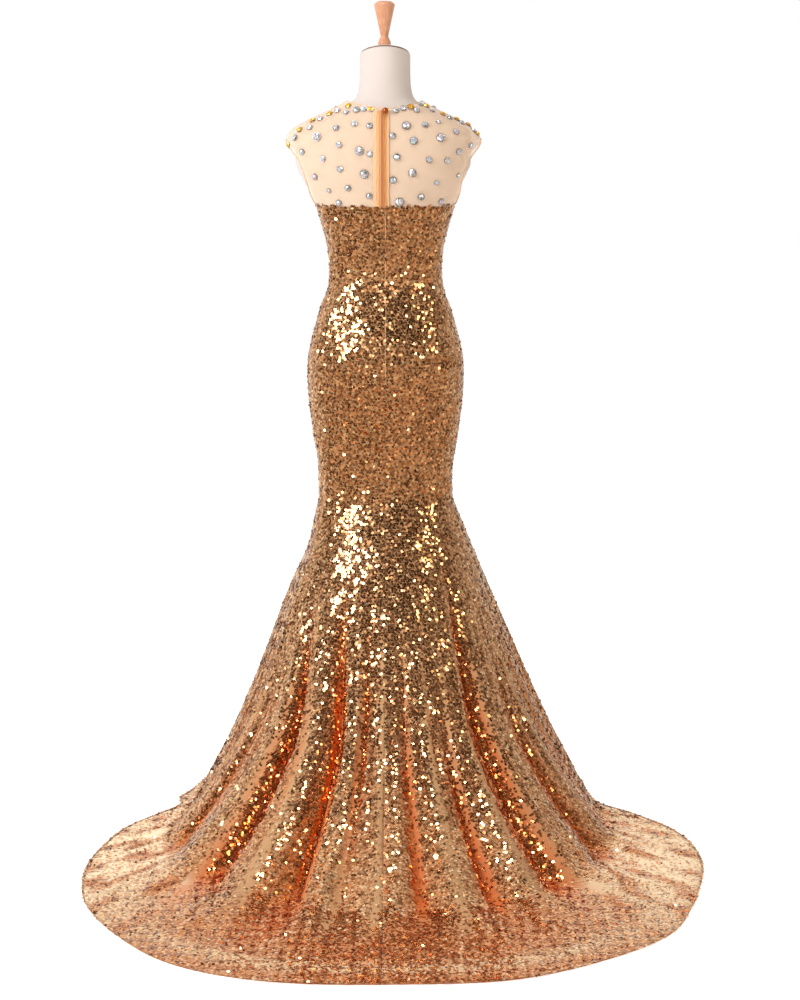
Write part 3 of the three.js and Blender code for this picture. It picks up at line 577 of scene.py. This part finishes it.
def armhole(w, back):
    inside = (w > 0) & (w < ARM_TOP)
    reach = (58 if back else 66) * np.sin(np.pi * np.clip(w, 0, ARM_TOP) / ARM_TOP) ** 0.8
    angle = np.full_like(w, 80.0)
    for _ in range(30):
        z = BODICE_TOP + (neckline(angle) - BODICE_TOP) * w
        r = body_radius(angle if back else 180 - angle, z)
        angle = 0.5 * angle + 0.5 * np.degrees(np.arccos(np.clip(reach / r, 0, 1)))
    return np.where(inside, angle, 90.0)


def yoke_grid(left, right, cols, rows=44):
    w = np.linspace(1, 0, rows)[:, None]
    t = np.linspace(0, 1, cols)[None, :]
    angle = left(w) * (1 - t) + right(w) * t
    z = BODICE_TOP + (neckline(angle) - BODICE_TOP) * w
    return body_point(angle, z)


sheer, sheer_b = grained("sheer_net", (0.96, 0.745, 0.55), (0.9, 0.69, 0.51), 0.7, 1300.0, 0.35)
sheer_b.inputs["Alpha"].default_value = 0.42
sheer_b.inputs["Sheen Weight"].default_value = 0.3
YOKES = [
    ("yoke_back_left", lambda w: -armhole(w, True), lambda w: YOKE_SEAM + 0 * w, 28),
    ("yoke_back_right", lambda w: YOKE_SEAM + 0 * w, lambda w: armhole(w, True), 30),
    ("yoke_front", lambda w: 180 - armhole(w, False), lambda w: 180 + armhole(w, False), 56)]
yoke_nets = {}
for name, left, right, cols in YOKES:
    grid = yoke_grid(left, right, cols)
    piece = shell(name + "_net", grid, NET_WALL, sheer, None, NET_INSET)
    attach(piece, "root")
    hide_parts(name)
    wide, tall, area = flat_size(grid)
    yoke_nets[name] = (piece, (wide, tall), area)

# Narrow rolled edges of the same net, in a deeper peach, along the neckline and round the armholes.
# Each is the net's raw edge turned twice and stitched.
ROLL = 0.8
roll, _ = grained("rolled_edge", (0.88, 0.57, 0.33), (0.8, 0.5, 0.27), 0.7, 900.0, 0.4)
for side, sign in (("left", -1), ("right", 1)):
    neck_angles = YOKE_SEAM + (sign * 90 - YOKE_SEAM) * np.linspace(0, 1, 60)
    w = np.linspace(0.02, 0.642, 70)
    back_arm, front_arm = sign * armhole(w, True), 180 - sign * armhole(w, False)
    for part, angles in (("neck", neck_angles), ("back_armhole", back_arm), ("front_armhole", front_arm)):
        share = 1.0 if part == "neck" else w
        z = BODICE_TOP + (neckline(angles) - BODICE_TOP) * share
        edge = cord(f"{part}_edge_{side}", body_point(angles, z) - [0, 0, 0.4], ROLL, roll)
        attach(edge, "root")
neck_angles = np.linspace(91, 269, 90)
edge = cord("neck_edge_front", body_point(neck_angles, neckline(neck_angles)) - [0, 0, 0.4], ROLL, roll)
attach(edge, "root")

# Crystals: round cut glass stones in silvered claw cups, glued and sewn through the net.
# Clear ones have a rainbow coat, and yellow ones follow the neckline and shoulders.
# Each row: place across, height, width
BACK_STONES = [
    (-99, 1424, 12), (-62, 1432, 12), (-31, 1428, 12), (-138, 1406, 16.5), (-93, 1390, 12), (-52, 1378, 16.5),
    (-31, 1372, 12), (-169, 1376, 12), (-126, 1362, 12), (-91, 1342, 12), (-143, 1326, 12), (-42, 1332, 16.5),
    (-75, 1304, 12), (-114, 1298, 9.5), (-32, 1288, 12), (-94, 1274, 12), (15, 1408, 12), (43, 1428, 16.5),
    (81, 1430, 12), (108, 1436, 9.5), (144, 1416, 12), (58, 1398, 15), (113, 1404, 16.5), (175, 1388, 12),
    (150, 1376, 12), (24, 1366, 13.5), (89, 1360, 12), (126, 1358, 12), (55, 1334, 15), (16.5, 1320, 13.5),
    (105, 1314, 9.5), (149, 1328, 8.5), (73, 1286, 13.5), (30, 1276, 16.5), (114, 1276, 12)]
FRONT_STONES = [
    (-140, 1368, 12), (-112, 1390, 15), (-92, 1344, 12), (-62, 1366, 12), (-72, 1302, 13.5), (-36, 1330, 15),
    (-8, 1292, 12), (-4, 1362, 12), (28, 1322, 15), (52, 1362, 12), (60, 1292, 13.5), (88, 1338, 12),
    (112, 1380, 15), (142, 1362, 12)]
# Border stones: x, height, width, kind (1 yellow, 0 clear)
BORDER_STONES = [
    (-75, 1468, 12.5, 1), (-113, 1452, 12.5, 1), (-148, 1438, 12.5, 1), (-174, 1420, 12.5, 1), (-198, 1390, 11, 1),
    (-30, 1464, 12, 1), (52, 1468, 12.5, 1), (84, 1468, 12, 1), (118, 1451, 12.5, 1), (146, 1441, 12.5, 1),
    (170, 1430, 12.5, 1), (194, 1412, 12, 1), (-97, 1458, 12, 0), (-79, 1455, 11, 0), (-58, 1460, 14, 0),
    (-43, 1462, 12, 0), (-132, 1442, 12, 0), (-153, 1424, 12, 0), (-184, 1404, 13, 0), (22, 1459, 12, 0),
    (37, 1464, 12, 0), (64, 1459, 12, 0), (72, 1473, 11, 0), (96, 1459, 12, 0), (132, 1444, 12, 0),
    (157, 1434, 12, 0), (181, 1419, 12, 0)]


def body_normal(angle, z):
    along = body_point(angle + 0.5, z) - body_point(angle - 0.5, z)
    down = body_point(angle, z - 2) - body_point(angle, z + 2)
    return unit(np.cross(down, along))


def on_body(x, z, back):
    angle = np.array(30.0 * np.sign(x))
    for _ in range(40):
        r = body_radius(angle if back else 180 - angle, np.array(float(z)))
        angle = 0.5 * angle + 0.5 * np.degrees(np.arcsin(np.clip(x / r, -0.99, 0.99)))
    plan = angle if back else 180 - angle
    return body_point(plan, float(z)), body_normal(plan, float(z))


def cut_stone(place, normal, width, sides=8):
    """Points and faces of a cut stone: girdle, two rows of facets, small table."""
    side = unit(np.cross(normal, [0.2, 0.1, 0.97]))
    other = np.cross(normal, side)
    points, faces = [], []
    for r, h, off in ((0.46, 0.0, 0), (0.5, 0.12, 0), (0.36, 0.3, 0.5), (0.2, 0.38, 0)):
        for k in range(sides):
            t = 2 * math.pi * (k + off) / sides
            points.append(place + width * (r * (side * math.cos(t) + other * math.sin(t)) + h * normal))
    for level in range(3):
        for k in range(sides):
            a, b = level * sides + k, level * sides + (k + 1) % sides
            faces += [[a, b, b + sides], [a, b + sides, a + sides]]
    faces += [list(range(3 * sides, 4 * sides)), list(range(sides - 1, -1, -1))]
    return points, faces


def cup(place, normal, width, sides=12):
    """Points and faces of the low metal cup that holds a stone by its girdle."""
    side = unit(np.cross(normal, [0.2, 0.1, 0.97]))
    other = np.cross(normal, side)
    points = []
    for r, h in ((0.5, 0.0), (0.55, 0.04), (0.54, 0.15), (0.49, 0.15), (0.45, 0.0)):
        for k in range(sides):
            t = 2 * math.pi * k / sides
            points.append(place + width * (r * (side * math.cos(t) + other * math.sin(t)) + h * normal))
    faces = []
    for level in range(5):
        for k in range(sides):
            i = (k + 1) % sides
            low, high = level * sides, (level + 1) % 5 * sides
            faces.append([low + k, low + i, high + i, high + k])
    return points, faces


def stones(name, rows, material, build=cut_stone, lift=0.3):
    points, faces = [], []
    for place, normal, width in rows:
        p, f = build(place + normal * lift, normal, width)
        faces += [[i + len(points) for i in g] for g in f]
        points += p
    return make(name, np.array(points), faces, material, False)


def on_border(x, z, width):
    """A border stone's seat, kept far enough below the neckline to sit on the net."""
    p, n = on_body(x, z, True)
    angle = np.degrees(np.arctan2(p[0], -p[1]))
    limit = float(neckline(angle)) - width * 0.42
    return on_body(x, min(z, limit), True)


clear, clear_b = shader("clear_crystal", (0.8, 0.82, 0.86), 0.08, 0.55)
coat = node(clear, "ShaderNodeTexNoise", Scale=140.0, Detail=0.0)
coat_tex = node(clear, "ShaderNodeTexCoord")
coat_ramp = graded(clear, (
    (0.0, (0, 0, 0)), (0.36, (0.45, 0.5, 0.5)), (0.48, (0.92, 0.95, 1)), (0.56, (0.8, 0.55, 0.85)),
    (0.64, (0.5, 0.82, 0.85)), (1.0, (1, 1, 1))))
link(clear, coat_tex.outputs["Object"], coat.inputs["Vector"])
link(clear, coat.outputs["Fac"], coat_ramp.inputs["Fac"])
link(clear, coat_ramp.outputs["Color"], clear_b.inputs["Base Color"])
yellow, _ = grained("yellow_crystal", (1.0, 0.56, 0.06), (0.86, 0.38, 0.02), 0.1, 90.0, 0.1, 0.6)
amber, _ = grained("amber_bead", (0.46, 0.115, 0.018), (0.3, 0.06, 0.01), 0.1, 60.0, 0.1, 0.4)
claw, _ = grained("silvered_cup", (0.44, 0.44, 0.46), (0.3, 0.3, 0.32), 0.3, 400.0, 0.2, 1.0)

stone_rows = {name: {"clear": [], "yellow": []} for name, _, _, _ in YOKES}
for x, z, width in BACK_STONES:
    stone_rows["yoke_back_left" if x < 0 else "yoke_back_right"]["clear"].append((*on_body(x, z, True), width))
for x, z, width in FRONT_STONES:
    stone_rows["yoke_front"]["clear"].append((*on_body(x, z, False), width))
for x, z, width, kind in BORDER_STONES:
    name = "yoke_back_left" if x < 0 else "yoke_back_right"
    stone_rows[name]["yellow" if kind else "clear"].append((*on_border(x, z, width), width))
for k in range(11):
    angle = np.array(100.0 + 16 * k)
    z = BODICE_TOP + (neckline(angle) - BODICE_TOP) * 0.95
    stone_rows["yoke_front"]["yellow" if k % 2 else "clear"].append((body_point(angle, z), body_normal(angle, z), 12))
for name, kinds in stone_rows.items():
    piece, flat, area = yoke_nets[name]
    for kind, material in (("clear", clear), ("yellow", yellow)):
        obj = stones(f"{name}_{kind}_crystals", kinds[kind], material)
        cups = stones(f"{name}_{kind}_cups", kinds[kind], claw, cup, 0.1)
        for item in (obj, cups):
            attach(item, "root")

# The placket: two folded bands of orange net either side of the yoke's zip, stitched to the net's edges,
# and a cut amber bead on a thread loop that closes the top.
PLACKET_WALL, PLACKET_LENGTH, PLACKET_LIFT = 0.6, 0.2, 1.45
BEAD_X, BEAD_HEIGHT, BEAD_LIFT, BEAD_RADIUS = 0.5, 1454.0, 8.4, 0.0065
band, band_b = shader("placket_net", (0.75, 0.38, 0.15), 0.65)
band_tex = node(band, "ShaderNodeTexCoord")
band_x = node(band, "ShaderNodeSeparateXYZ")
band_place = node(band, "ShaderNodeMapRange", From_Min=-0.0235, From_Max=0.0082)
# painted shade: the bands are painted darker toward the slit between them, and paler at their outer edges
placket_shade_ramp = graded(band, (
    (0.0, (0.84, 0.55, 0.32)), (0.25, (0.8, 0.45, 0.22)), (0.42, (0.68, 0.3, 0.11)), (0.6, (0.46, 0.17, 0.05)),
    (0.82, (0.66, 0.29, 0.1)), (1.0, (0.84, 0.55, 0.3))))
link(band, band_tex.outputs["Object"], band_x.inputs["Vector"])
link(band, band_x.outputs["X"], band_place.inputs["Value"])
link(band, band_place.outputs["Result"], placket_shade_ramp.inputs["Fac"])
link(band, placket_shade_ramp.outputs["Color"], band_b.inputs["Base Color"])
band_b.inputs["Alpha"].default_value = 0.9
for name, lo, hi in (("placket_left", -23.5, -6.2), ("placket_right", -5.8, 8.2)):
    z = np.linspace(1458, BODICE_TOP + 1.5, 80)
    x = np.linspace(lo, hi, 19)
    grid = np.zeros((80, 19, 3))
    for i, height in enumerate(z):
        for j, across in enumerate(x):
            p, n = on_body(float(across), float(height), True)
            crease = 0.55 * math.sin(j * 1.25 + 0.5 * math.sin(i * 0.11)) + 0.25 * math.sin(i * 0.5 + j * 0.8)
            grid[i, j] = p + n * (PLACKET_LIFT + crease * math.sin(math.pi * j / 18))
    piece = shell(name + "_band", grid, PLACKET_WALL, band)
    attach(piece, "root")
    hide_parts(name)
p, n = on_body(BEAD_X, BEAD_HEIGHT, True)
bpy.ops.mesh.primitive_ico_sphere_add(subdivisions=2, radius=BEAD_RADIUS)
bead = bpy.context.object
bead.name = "amber_bead"
for v in bead.data.vertices:
    v.co = v.co + Vector(((p + n * BEAD_LIFT) * MM).tolist())
bead.location = (0, 0, 0)
bead.data.materials.append(amber)
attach(bead, "root")
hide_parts("neck_bead")

# The dress form: a moulded light shell under a tight ivory jersey cover, seen through the yoke and at the neck.
# It has no arms, and its shoulders are cut flat inside the cap sleeves.
FORM_FOOT, FORM_EASE, NECK_RADIUS = 782.0, 3.3, 51.5
ARM_PLATE, RIGHT_IN = 184, 8
cover, _ = grained("form_cover", (0.61, 0.545, 0.51), (0.57, 0.505, 0.47), 0.85, 1500.0, 0.3)
c = np.linspace(0, 20, 121)[:-1]
angles = fold_angles(c)[0]


def form_point(angle, z):
    p, n = body_point(angle, z), body_normal(angle, z)
    s = np.abs(np.sin(np.radians(angle)))
    front = np.cos(np.radians(angle)) < 0.1
    at_arm = s ** 3 * (2 + np.where(front, 6, 2) * smooth(1330, 1400, z)) * smooth(BODICE_TOP, 1275, z)
    slack = 0.9 * smooth(BODICE_TOP, 1300, z) + at_arm
    q = p - n * (FORM_EASE + slack)[..., None]
    up = np.clip((z - BODICE_TOP) / 137, 0, 1)
    plate = np.minimum(ARM_PLATE, 143 + 62 * up - 6.5 + 9.5 * np.sin(np.pi * up) ** 0.7)
    plate = plate - np.where(q[..., 0] > 0, RIGHT_IN, 0) * smooth(0, 0.25, up)
    over = (z > BODICE_TOP) & (np.abs(q[..., 0]) > plate)
    q[..., 0] = np.where(over, np.sign(q[..., 0]) * plate, q[..., 0])
    return q


def cap_height(y):
    return 1569.5 - y / 52 * 17.5


rings = [form_point(angles, np.full_like(angles, 790.0)) * [0.95, 0.95, 0] + [0, 0, FORM_FOOT]]
for z in np.linspace(790, BODICE_TOP, 45):
    rings.append(form_point(angles, np.full_like(angles, z)))
for w in np.linspace(0.03, 1, 36):
    rings.append(form_point(angles, BODICE_TOP + (neckline(angles) - BODICE_TOP) * w))
shoulder = rings[-1]
turn = np.degrees(np.arctan2(shoulder[:, 0], -shoulder[:, 1]))
wide = np.hypot(shoulder[:, 0], shoulder[:, 1])
for up in np.linspace(0, 1, 25)[1:]:
    inward = float(np.interp(up, [0, 0.06, 0.12, 0.22, 0.4, 0.65, 1], [0, 0.35, 0.6, 0.8, 0.94, 1, 1]))
    q = at(turn, wide * (1 - inward) + NECK_RADIUS * inward, 0.0 * turn)
    q[:, 2] = shoulder[:, 2] * (1 - up) + cap_height(q[:, 1]) * up
    rings.append(q)


def stack(name, rings, material):
    """Closed solid from rings, bottom to top."""
    n = len(rings[0])
    points = np.concatenate([*rings, [rings[0].mean(0)], [rings[-1].mean(0)]])
    faces = []
    for k in range(len(rings) - 1):
        for j in range(n):
            i = (j + 1) % n
            faces.append([k * n + j, k * n + i, (k + 1) * n + i, (k + 1) * n + j])
    low, high, top = len(points) - 2, len(points) - 1, (len(rings) - 1) * n
    for j in range(n):
        i = (j + 1) % n
        faces += [[i, j, low], [top + j, top + i, high]]
    return make(name, points, faces, material)


torso = stack("form_body", rings, cover)
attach(torso, "root")
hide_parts("form_torso")

# The neck cap: a disc covered in ivory cloth, with a turned brown edge, screwed on the neck and slanting down to
# the front. A turned and varnished wooden finial stands on it.
# Radius and lift of the cap's rings, from its foot to its top
CAP_RINGS = ((48.6, 0.3), (49.6, 0.3), (50.1, 0.9), (50.2, 1.8), (50.0, 3.0), (49.2, 4.0), (47.8, 4.5), (40, 4.8),
             (30, 4.9), (20, 5.0))
rim, _ = grained("cap_edge", (0.18, 0.09, 0.055), (0.13, 0.065, 0.04), 0.5, 300.0, 0.3)
top_cover, _ = grained("cap_top", (0.82, 0.76, 0.68), (0.76, 0.7, 0.62), 0.7, 1300.0, 0.3)
ring_angles = np.arange(96) * 360 / 96 - 180


def slanted(r, lift):
    p = at(ring_angles, r, 0.0 * ring_angles)
    p[:, 2] = cap_height(p[:, 1]) + lift
    return p


cap = stack("neck_cap_disc", [slanted(r, h) for r, h in CAP_RINGS], rim)
cap.data.materials.append(top_cover)
for poly in cap.data.polygons:
    if poly.normal.z > 0.5:
        poly.material_index = 1
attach(cap, "root")
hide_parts("neck_cap")

wood, wood_b = shader("turned_wood", (0.7, 0.33, 0.15), 0.22)
wood_tex = node(wood, "ShaderNodeTexCoord")
wood_map = node(wood, "ShaderNodeMapping")
wood_map.inputs["Scale"].default_value = (260, 260, 22)
wood_noise = node(wood, "ShaderNodeTexNoise", Scale=1.0, Detail=4.0, Roughness=0.6)
wood_ramp = graded(wood, ((0.3, (0.5, 0.22, 0.12)), (0.7, (0.66, 0.34, 0.2))))
link(wood, wood_tex.outputs["Object"], wood_map.inputs["Vector"])
link(wood, wood_map.outputs["Vector"], wood_noise.inputs["Vector"])
link(wood, wood_noise.outputs["Fac"], wood_ramp.inputs["Fac"])
link(wood, wood_ramp.outputs["Color"], wood_b.inputs["Base Color"])
# Height and radius of the finial
FINIAL = np.array([[1581, 12], [1592, 12.6], [1594, 13.4], [1597, 13], [1601.5, 11.3], [1606, 8.8], [1608.5, 7.7],
                   [1611, 8.2], [1640, 14.6], [1672, 21.7], [1676, 18], [1679, 13]])
FINIAL_X = -1.4
foot = at(ring_angles, 12, 0.0 * ring_angles) + [FINIAL_X, 0, 0]
foot[:, 2] = cap_height(foot[:, 1]) + 5.3
heights = np.linspace(1591, 1679, 60)
radii = np.interp(heights, FINIAL[:, 0], FINIAL[:, 1])
turns = [at(ring_angles, r, h + 0 * ring_angles) + [FINIAL_X, 0, 0] for h, r in zip(heights, radii)]
turned = stack("turned_finial", [foot] + turns, wood)
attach(turned, "root")
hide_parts("finial")

# The stand under the skirt: a brushed steel tube that carries the form, screwed into a weighted base painted dark.
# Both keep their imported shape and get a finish.
STAND = (
    ("stand_pole", (0.62, 0.62, 0.62), (0.5, 0.5, 0.5), 0.3, 90.0, 1.0, (12, 12, 0.4)),
    ("stand_base", (0.13, 0.12, 0.11), (0.09, 0.085, 0.08), 0.4, 500.0, 0.0, (1, 1, 1)))
for name, color, dark, rough, scale, metal, stretch in STAND:
    material, _ = grained(name + "_finish", color, dark, rough, scale, 0.2, metal, stretch)
    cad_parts[name].data.materials.clear()
    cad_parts[name].data.materials.append(material)

# Studio: a pale floor that runs into a white background, soft boxes above and to both sides behind the camera.
# The room seen only in the sequins is warm and dappled, darker behind the camera and to the right.
floor_mat, floor_b = shader("studio_floor", (0.9, 0.9, 0.9), 0.9)
floor_b.inputs["Emission Color"].default_value = (1, 1, 1, 1)
floor_b.inputs["Emission Strength"].default_value = 0.6
bpy.ops.mesh.primitive_plane_add(size=40, location=(0, 0, -0.0005))
floor = bpy.context.object
floor.name = "studio_floor"
floor.data.materials.append(floor_mat)
floor.visible_glossy = False
world = bpy.data.worlds.new("studio")
bpy.context.scene.world = world
world.use_nodes = True
back_light = world.node_tree.nodes["Background"]
room, split = node(world, "ShaderNodeTexCoord"), node(world, "ShaderNodeSeparateXYZ")
patches = node(world, "ShaderNodeTexNoise", Scale=7.0)
patch_ramp = graded(world, ((0.4, (0.22, 0.2, 0.18)), (0.62, (2.4, 2.3, 2.2))))
shade = graded(world, ((0.0, (0, 0, 0)), (0.35, (1, 1, 1))))
# behind the camera: a warm floor below, a dim room above
height = graded(world, ((0.0, (0.4, 0.31, 0.24)), (0.18, (0.12, 0.095, 0.08))))
# the right side of the room is darker
side_ramp = graded(world, ((0.2, (1, 1, 1)), (0.6, (0.7, 0.68, 0.66))))
link(world, room.outputs["Generated"], patches.inputs["Vector"])
link(world, patches.outputs["Fac"], patch_ramp.inputs["Fac"])
link(world, room.outputs["Generated"], split.inputs["Vector"])
for axis, ramp in (("X", side_ramp), ("Y", shade), ("Z", height)):
    link(world, split.outputs[axis], ramp.inputs["Fac"])
dapple = node(world, "ShaderNodeMix", data_type="RGBA", blend_type="MULTIPLY")
dapple.inputs[0].default_value = 1.0
link(world, height.outputs["Color"], dapple.inputs[6])
link(world, patch_ramp.outputs["Color"], dapple.inputs[7])
mixed = blend(world, shade.outputs["Color"], dapple.outputs[2], side_ramp.outputs["Color"])
# the backdrop itself is plain white
seen = node(world, "ShaderNodeLightPath")
link(world, blend(world, seen.outputs["Is Camera Ray"], mixed, (1, 1, 1)), back_light.inputs["Color"])
back_light.inputs["Strength"].default_value = 1.0


def softbox(name, place, target, size, power, color=(1, 1, 1)):
    data = bpy.data.lights.new(name, "AREA")
    data.shape = "RECTANGLE"
    data.size, data.size_y = size
    data.energy, data.color = power, color
    obj = bpy.data.objects.new(name, data)
    bpy.context.collection.objects.link(obj)
    way = Vector(target) - Vector(place)
    obj.location = place
    obj.rotation_euler = way.to_track_quat("-Z", "Y").to_euler()


softbox("key_left", (-2.9, -2.3, 2.7), (0, 0, 0.9), (1.9, 1.5), 130)
softbox("key_right", (2.9, -2.3, 2.7), (0, 0, 0.9), (0.8, 1.5), 30, (1, 0.9, 0.7))
softbox("overhead", (-0.3, -0.7, 4.2), (0, -0.45, 0.3), (0.8, 0.55), 36)
softbox("fill_high", (-0.4, -4.8, 2.75), (0, 0, 1.0), (2.4, 0.9), 14, (1, 0.95, 0.88))

# The camera stands behind the gown, a little above its waist, and looks slightly down as in the photograph.
CAMERA_PLACE, CAMERA_TILT = (0.0304, -4.4, 1.4203), 80
LENS, SENSOR = 75.6, 36.0
bpy.context.scene.view_settings.view_transform = "Standard"
camera = bpy.data.objects.new("camera", bpy.data.cameras.new("camera"))
bpy.context.collection.objects.link(camera)
camera.data.lens, camera.data.sensor_width = LENS, SENSOR
camera.location = CAMERA_PLACE
camera.rotation_euler = (math.radians(CAMERA_TILT), 0, 0)
bpy.context.scene.camera = camera
